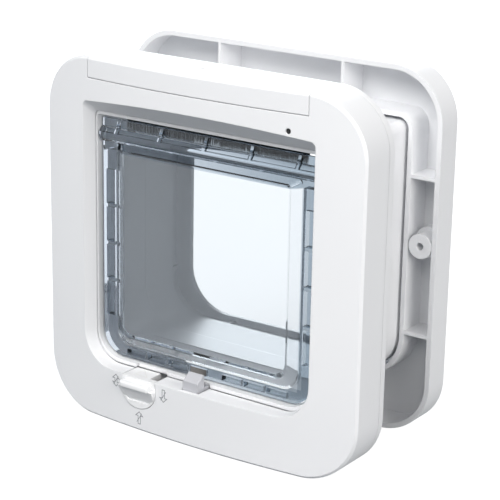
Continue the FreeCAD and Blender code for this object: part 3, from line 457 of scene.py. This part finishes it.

# %% [markdown]
# The face carries three small printed arrows round the lock knob, each crossed by a slash,
# and the knob's top has a fine moulded triangle, drawn as a pale grey line that is painted
# shade of its groove. The head of an arrow is a circle of three points whose lower edge is
# divided, and the middle of that edge is drawn down into the shaft. An inset of the whole
# shape then leaves a rim as wide as the pen stroke, once the inside is deleted. Pad printing
# is about 0.03 mm thick, so the rim gets that thickness.

# %% Printed marks
FACE_HALF = 105.0
FACE_BULGE = 8.0
FACE_RADIUS = (FACE_HALF ** 2 + FACE_BULGE ** 2) / (2 * FACE_BULGE)
STROKE = 0.42 * MM
INK = 0.03 * MM
HEAD_HALF = 3.1 * MM
HEAD_TALL = 2.9 * MM
SHAFT_HALF = 1.05 * MM
ARROW_TALL = 7.8 * MM
SLASH_LONG = 6.8 * MM
SLASH_WIDE = 0.8 * STROKE
SLASH_LEAN = math.radians(-32)
TRIANGLE_LINE = 0.3 * MM


def face_y(x):
    return FACE_RADIUS - FACE_BULGE - math.sqrt(FACE_RADIUS ** 2 - x ** 2)


def filled_triangle(name, corners):
    """A circle of three points with its points moved to the corners."""
    nothing_selected()
    bpy.ops.mesh.primitive_circle_add(vertices=3, radius=HEAD_HALF, fill_type="NGON")
    mark = named(name)
    for point, corner in zip(mark.data.vertices, corners):
        point.co = Vector(corner)
    return mark


def keep_rim(mark, width):
    """Leaves only a rim of the outline, as wide as a pen stroke."""
    pick(mark, everything, "FACE")
    bpy.ops.mesh.normals_make_consistent(inside=False)
    bpy.ops.mesh.inset(thickness=width, use_boundary=True, use_even_offset=True)
    bpy.ops.mesh.delete(type="FACE")
    nothing_selected()


def arrow(name, double):
    """Outlined arrow that points along +Y, with its middle at the origin."""
    tip = ARROW_TALL / 2
    shoulder = tip - HEAD_TALL
    mark = filled_triangle(name, ((0, tip, 0), (-HEAD_HALF, shoulder, 0),
                                  (HEAD_HALF, shoulder, 0)))
    pick(mark, lambda place: place.y < shoulder + 0.1 * MM)
    bpy.ops.mesh.subdivide(number_cuts=2)
    pick(mark, lambda place: place.y < shoulder + 0.1 * MM and abs(place.x) < HEAD_HALF / 2)
    bpy.ops.transform.resize(value=(3 * SHAFT_HALF / HEAD_HALF, 1, 1))
    foot = 0 if double else -tip
    bpy.ops.mesh.extrude_region_move(TRANSFORM_OT_translate={
        "value": (0, foot - shoulder, 0)})
    if double:
        pick(mark, everything)
        bpy.ops.mesh.symmetrize(direction="POSITIVE_Y", threshold=0.01 * MM)
    keep_rim(mark, STROKE)
    return mark


def slash(name):
    nothing_selected()
    bpy.ops.mesh.primitive_plane_add(size=1, rotation=(0, 0, SLASH_LEAN))
    mark = named(name)
    mark.scale = (SLASH_WIDE, SLASH_LONG, 1)
    apply_all(mark)
    return mark


def printed_arrows(spots, material):
    """Arrows with their slashes, each laid on the curved face where it belongs."""
    marks = []
    for x, z, down, double in spots:
        lean = math.atan2(x, FACE_RADIUS)
        drop = math.pi if down else 0.0
        mark = joined([arrow("arrow", double), slash("slash")], "arrow")
        stood_up = Matrix.Rotation(math.pi / 2, 3, "X") @ Matrix.Rotation(drop, 3, "Z")
        mark.rotation_euler = (Matrix.Rotation(lean, 3, "Z") @ stood_up).to_euler()
        mark.location = at(x, face_y(x), z)
        apply_all(mark)
        marks.append(mark)
    return inked(joined(marks, "printed_arrows"), material, "inner_unit")


def inked(mark, material, body):
    """Gives the flat rims the thickness of the ink, half of it in the surface."""
    layer = mark.modifiers.new("layer", "SOLIDIFY")
    layer.thickness = 2 * INK
    layer.offset = 0
    return finish_piece(mark, material, body)


def knob_triangle(corners, top, material):
    mark = filled_triangle("knob_triangle", [at(x, y, top) for x, y in corners])
    keep_rim(mark, TRIANGLE_LINE)
    return inked(mark, material, "lock_knob")


def ink(name, base, worn):
    made, tree, surface, place = new_material(name)
    fade = add_node(tree, "TexNoise", {"Vector": place, "Scale": 1 / (1.5 * MM),
                                       "Detail": 2.0})
    mixed = add_node(tree, "Mix", {"Factor": fade.outputs["Fac"], "A": linear(base),
                                   "B": linear(worn)}, data_type="RGBA")
    tree.links.new(mixed.outputs["Result"], surface.inputs["Base Color"])
    surface.inputs["Roughness"].default_value = 0.5
    return made


grey_ink = ink("grey_pad_ink", "#85878c", "#94969b")
# the triangle's pale grey is painted shade of a moulded groove, not ink
groove_painted_shade = ink("groove_painted_shade", "#d2d2cd", "#dcdcd8")
ARROWS = ((-51.9, -78.7, False, True), (-16.6, -79.2, True, False),
          (-34.2, -96.9, False, False))
KNOB_TOP = -73.2
TRIANGLE = ((-40.6, -2.8), (-39.9, 5.2), (-31.5, -3.3))
printed_arrows(ARROWS, grey_ink)
knob_triangle(TRIANGLE, KNOB_TOP, groove_painted_shade)

# %% [markdown]
# The knob's grip bar is a soft, well rounded bar on the real one, fuller than the solid's
# square one. A cube is scaled to the bar's size, and a Bevel modifier rounds its edges. It
# encloses the solid bar and turns with the knob. Below the bar the knob is scooped out for a
# fingertip: a disc is cut level with the bar and then by a sloping plane, which leaves a
# floor that runs back to a straight chord.

# %% Rounded grip bar
GRIP_X = -34.8
GRIP_HALF = 9.9
GRIP_TOP = -75.1
GRIP_FOOT = -79.0
GRIP_OUT = 5.2
GRIP_ROOT = 1.2
GRIP_ROUND = 1.3
KNOB_Z = -78.7
SCOOP_R = 11.9
SCOOP_TOP = -78.2
SCOOP_CHORD = -88.0
SCOOP_OUT = 4.0
SCOOP_IN = 1.0


def knob_grip(material):
    """A bar from inside the knob's plate to its rounded front."""
    front = face_y(GRIP_X) - GRIP_OUT
    rear = face_y(GRIP_X) + GRIP_ROOT
    middle = at(GRIP_X, (front + rear) / 2, (GRIP_TOP + GRIP_FOOT) / 2)
    nothing_selected()
    bpy.ops.mesh.primitive_cube_add(
        size=1, location=middle,
        scale=(2 * GRIP_HALF * MM, (rear - front) * MM, (GRIP_TOP - GRIP_FOOT) * MM))
    bar = named("knob_grip")
    rounding = bar.modifiers.new("rounding", "BEVEL")
    rounding.width = GRIP_ROUND * MM
    rounding.segments = 5
    apply_all(bar)
    nothing_selected()
    bar.select_set(True)
    bpy.ops.object.shade_smooth_by_angle(angle=math.radians(40))
    return finish_piece(bar, material, "lock_knob")


def knob_scoop(material):
    """The sloping floor of the scoop, from behind the bar down to its chord."""
    face = face_y(GRIP_X)
    front = face - SCOOP_OUT
    rear = face + GRIP_ROOT
    slope = Vector((0, SCOOP_CHORD - SCOOP_TOP, -(SCOOP_OUT + SCOOP_IN)))
    nothing_selected()
    bpy.ops.mesh.primitive_cylinder_add(vertices=64, radius=SCOOP_R * MM,
                                        depth=(rear - front) * MM,
                                        rotation=(math.pi / 2, 0, 0),
                                        location=at(GRIP_X, (front + rear) / 2, KNOB_Z))
    scoop = named("knob_scoop")
    apply_all(scoop)
    pick(scoop, everything)
    cuts = ((at(GRIP_X, front, SCOOP_TOP), Vector((0, 0, 1))),
            (at(GRIP_X, front, SCOOP_TOP), slope.normalized()))
    for spot, away in cuts:
        bpy.ops.mesh.select_all(action="SELECT")
        bpy.ops.mesh.bisect(plane_co=spot, plane_no=away, use_fill=True, clear_outer=True)
    bpy.ops.mesh.select_all(action="SELECT")
    bpy.ops.mesh.normals_make_consistent(inside=False)
    nothing_selected()
    return finish_piece(scoop, material, "lock_knob")


knob_grip(knob_abs)
knob_scoop(knob_abs)

# %% [markdown]
# The latch's return spring is a real helix here. A Screw modifier winds a small circle, the
# section of the wire, about the upright axis. Two cuts then grind its ends flat, as on a
# bought spring. It shortens when the solenoid pulls the latch down.

# %% Return spring
SPRING_FOOT = at(0, 16, -88.5)
SPRING_LEN = 8.7 * MM
SPRING_R = 3.9 * MM
WIRE_R = 0.3 * MM
TURNS = 6


def return_spring(material):
    nothing_selected()
    bpy.ops.mesh.primitive_circle_add(vertices=10, radius=WIRE_R)
    spring = named("return_spring")
    pick(spring, everything)
    bpy.ops.transform.rotate(value=math.pi / 2, orient_axis="X", center_override=(0, 0, 0))
    bpy.ops.transform.translate(value=(SPRING_R, 0, 0))
    nothing_selected()
    winding = spring.modifiers.new("winding", "SCREW")
    winding.axis = "Z"
    winding.iterations = TURNS
    winding.screw_offset = SPRING_LEN / TURNS
    winding.steps = winding.render_steps = 24
    winding.use_smooth_shade = True
    spring.location = SPRING_FOOT
    apply_all(spring)
    pick(spring, everything)
    bpy.ops.mesh.fill_holes(sides=12)
    for cut_z, up in ((SPRING_FOOT.z + WIRE_R, -1), (SPRING_FOOT.z + SPRING_LEN - WIRE_R, 1)):
        bpy.ops.mesh.select_all(action="SELECT")
        bpy.ops.mesh.bisect(plane_co=(0, 0, cut_z), plane_no=(0, 0, up), use_fill=True,
                            clear_outer=True)
    bpy.ops.mesh.select_all(action="SELECT")
    bpy.ops.mesh.remove_doubles(threshold=0.001 * MM)
    bpy.ops.mesh.normals_make_consistent(inside=False)
    return finish_piece(spring, material, "inner_unit")


spring = return_spring(zinc)
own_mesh(spring)
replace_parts(spring, "latch_spring")

# %% [markdown]
# The screws at the back get their pan head with a cross recess. A cylinder is the head: its
# outer face is inset twice and raised into a low dome, and its inner face is inset and drawn
# out into the shank, whose end is scaled down to the point. Two crossed bars that narrow
# downwards are then cut out of it. One screw is modelled, and the others are copies.

# %% Cross-head screws
SCREWS = ((93.5, 80.0), (-93.5, 80.0), (62.0, -86.0), (-62.0, -86.0))
HEAD_R = 2.8 * MM
HEAD_T = 1.45 * MM
HEAD_SEAT_Y = 25.1
DOME = 0.35 * MM
DOME_STEPS = (0.7, 0.3)
DOME_INSET = 0.3 * HEAD_R
SHANK_R = 1.45 * MM
SHANK_L = 8.7 * MM
POINT_L = 2.5 * MM
POINT_TAPER = 0.15
CROSS_ARM = 3.4 * MM
CROSS_W = 0.75 * MM
CROSS_DEEP = 1.1 * MM
CROSS_TAPER = 0.6


def screw_blank():
    nothing_selected()
    bpy.ops.mesh.primitive_cylinder_add(vertices=32, radius=HEAD_R, depth=HEAD_T,
                                        location=(0, 0, HEAD_T / 2))
    blank = named("screw")
    apply_all(blank)
    pick(blank, lambda place: place.z > 0.99 * HEAD_T, "FACE")
    for share in DOME_STEPS:
        bpy.ops.mesh.inset(thickness=DOME_INSET)
        bpy.ops.transform.translate(value=(0, 0, DOME * share))
    pick(blank, lambda place: place.z < 0.01 * HEAD_T, "FACE")
    bpy.ops.mesh.inset(thickness=HEAD_R - SHANK_R)
    bpy.ops.mesh.extrude_region_move(TRANSFORM_OT_translate={"value": (0, 0, -SHANK_L)})
    bpy.ops.mesh.extrude_region_move(TRANSFORM_OT_translate={"value": (0, 0, -POINT_L)})
    bpy.ops.transform.resize(value=(POINT_TAPER, POINT_TAPER, 1))
    nothing_selected()
    return blank


def cross_bar(turn):
    """One bar of the driver's tip, narrower at its lower end."""
    bpy.ops.mesh.primitive_cube_add(size=1, location=(0, 0, HEAD_T + DOME),
                                    rotation=(0, 0, turn),
                                    scale=(CROSS_ARM, CROSS_W, 2 * CROSS_DEEP))
    bar = named("cross_bar")
    pick(bar, lambda place: place.z < 0)
    bpy.ops.transform.resize(value=(CROSS_TAPER, CROSS_TAPER, 1))
    nothing_selected()
    return bar


def cross_head_screws(spots, material):
    blank = screw_blank()
    for turn in (math.pi / 4, -math.pi / 4):
        bar = cross_bar(turn)
        apply_all(bar)
        cut = blank.modifiers.new("cross", "BOOLEAN")
        cut.operation = "DIFFERENCE"
        cut.solver = "EXACT"
        cut.object = bar
        apply_all(blank)
        bpy.data.objects.remove(bar)
    out_of_the_back = (-math.pi / 2, 0, 0)
    copies = [copy_of(blank, at(x, HEAD_SEAT_Y, z), out_of_the_back) for x, z in spots]
    bpy.data.objects.remove(blank)
    for screw in copies:
        apply_all(screw)
    return finish_piece(joined(copies, "cross_head_screws"), material, "inner_unit")


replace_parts(cross_head_screws(SCREWS, zinc), "housing_screws")

# %% [markdown]
# The floor and the room are pale and plain. The photograph's ground is pure white, and a
# floor lit to white would throw far too much light under the recess. So the floor is a mid
# grey and the room is dim, and both show as white only to a ray from the camera that has
# met nothing but clear or glossy surfaces on its way. The Light Path node tells such rays
# by their kind, and by a count of diffuse bounces that is still zero.

# %% Floor and world
ROOM_LIGHT = 0.12
ROOM_SEEN = {"Is Camera Ray": 1.0, "Is Transmission Ray": 1.0, "Is Glossy Ray": 0.6}
FLOOR_LIFT = {"Is Camera Ray": 0.95, "Is Transmission Ray": 0.8, "Is Glossy Ray": 0.3}


def seen_directly(tree, shares):
    """The share of each kind of ray that comes straight from the camera, and else 0."""
    ray = add_node(tree, "LightPath")
    most = None
    for kind, share in shares.items():
        part = add_node(tree, "Math", {0: ray.outputs[kind], 1: share}, operation="MULTIPLY")
        if most:
            part = add_node(tree, "Math", {0: most.outputs["Value"], 1: part.outputs["Value"]},
                            operation="MAXIMUM")
        most = part
    fresh = add_node(tree, "Math", {0: ray.outputs["Diffuse Depth"], 1: 0.5},
                     operation="LESS_THAN")
    both = add_node(tree, "Math", {0: most.outputs["Value"], 1: fresh.outputs["Value"]},
                    operation="MULTIPLY")
    return both.outputs["Value"]


FLOOR_SIZE = 12.0
FLOOR_DROP = 0.5 * MM
bpy.ops.mesh.primitive_plane_add(size=FLOOR_SIZE, location=(0, 0, -FLOOR_DROP))
floor = bpy.context.active_object
floor.name = "studio_floor"
floor_paint, floor_tree, floor_surface, _ = new_material("studio_floor_paint")
floor_surface.inputs["Base Color"].default_value = linear("#868a8e")
floor_surface.inputs["Roughness"].default_value = 1.0
floor_surface.inputs["Emission Color"].default_value = (1, 1, 1, 1)
floor_tree.links.new(seen_directly(floor_tree, FLOOR_LIFT),
                     floor_surface.inputs["Emission Strength"])
floor.data.materials.append(floor_paint)

world = bpy.data.worlds.new("studio")
bpy.context.scene.world = world
world.use_nodes = True
sky = world.node_tree
background = sky.nodes["Background"]
seen = seen_directly(sky, ROOM_SEEN)
level = add_node(sky, "MapRange", {"Value": seen, "To Min": ROOM_LIGHT, "To Max": 1.0})
sky_tone = add_node(sky, "Mix", {"Factor": seen, "A": linear("#e3eefa"),
                                 "B": (1, 1, 1, 1)}, data_type="RGBA")
sky.links.new(sky_tone.outputs["Result"], background.inputs["Color"])
sky.links.new(level.outputs["Result"], background.inputs["Strength"])

# %% [markdown]
# Four large soft lamps stand round the fitting: the main one high in front, one at the
# right for the side wall, a weak one in front of the right corner for the outer frame's
# inner faces, and one behind on the left that lights the tunnel's floor through its exit.
# The lamps in front are a little warm and the one behind is a little cool.

# %% Lamps
MIDDLE = (0, 0, 0.1)
NEARLY_WHITE = (1.0, 0.99, 0.975)
WARM = (1.0, 0.975, 0.945)
COOL = (0.93, 0.975, 1.0)


def soft_lamp(name, place, size, watts, tone):
    """A round lamp that faces the middle of the fitting. Clear plastic doesn't show it."""
    data = bpy.data.lights.new(name, "AREA")
    data.shape = "DISK"
    data.size = size
    data.energy = watts
    data.color = tone
    lamp = bpy.data.objects.new(name, data)
    bpy.context.scene.collection.objects.link(lamp)
    lamp.location = place
    aim = Vector(MIDDLE) - Vector(place)
    lamp.rotation_euler = aim.to_track_quat("-Z", "Y").to_euler()
    lamp.visible_transmission = False


soft_lamp("key_above", (-0.3, -1.5, 1.8), 1.6, 44, NEARLY_WHITE)
soft_lamp("fill_right", (1.7, -0.5, 0.7), 1.2, 21, WARM)
soft_lamp("front_right", (0.9, -1.4, 1.4), 1.0, 7, WARM)
soft_lamp("tunnel_back", (-0.9, 1.7, 0.6), 1.2, 21, COOL)

# %% [markdown]
# The camera stands about a metre off, to the right of the middle and a little above, with a
# long lens that keeps the frame's sides nearly parallel. Its place, lens and slight roll
# come from fitting the fitting's edges to the photograph.

# %% Camera
AZIMUTH = math.radians(34.77)
ELEVATION = math.radians(17.64)
ROLL = math.radians(1.07)
DISTANCE = 975.9 * MM
FOCAL_PX = 1750.4
SENSOR_MM = 36.0
IMAGE_PX = 500
TARGET = Vector((7.2, 40.0 - 43.587, 105.0 - 0.9)) * MM

back = Vector((math.sin(AZIMUTH) * math.cos(ELEVATION),
               -math.cos(AZIMUTH) * math.cos(ELEVATION), math.sin(ELEVATION)))
right = Vector((math.cos(AZIMUTH), math.sin(AZIMUTH), 0))
up = back.cross(right)
rolled_right = right * math.cos(ROLL) + up * math.sin(ROLL)
rolled_up = up * math.cos(ROLL) - right * math.sin(ROLL)
lens = bpy.data.cameras.new("photo_camera")
lens.sensor_width = SENSOR_MM
lens.lens = FOCAL_PX / IMAGE_PX * SENSOR_MM
lens.clip_end = 50
camera = bpy.data.objects.new("photo_camera", lens)
bpy.context.scene.collection.objects.link(camera)
turn = Matrix((rolled_right, rolled_up, back)).transposed().to_4x4()
camera.matrix_world = Matrix.Translation(TARGET + back * DISTANCE) @ turn
bpy.context.scene.camera = camera
bpy.context.scene.view_settings.view_transform = "Standard"
print("lens in mm:", round(lens.lens, 1))
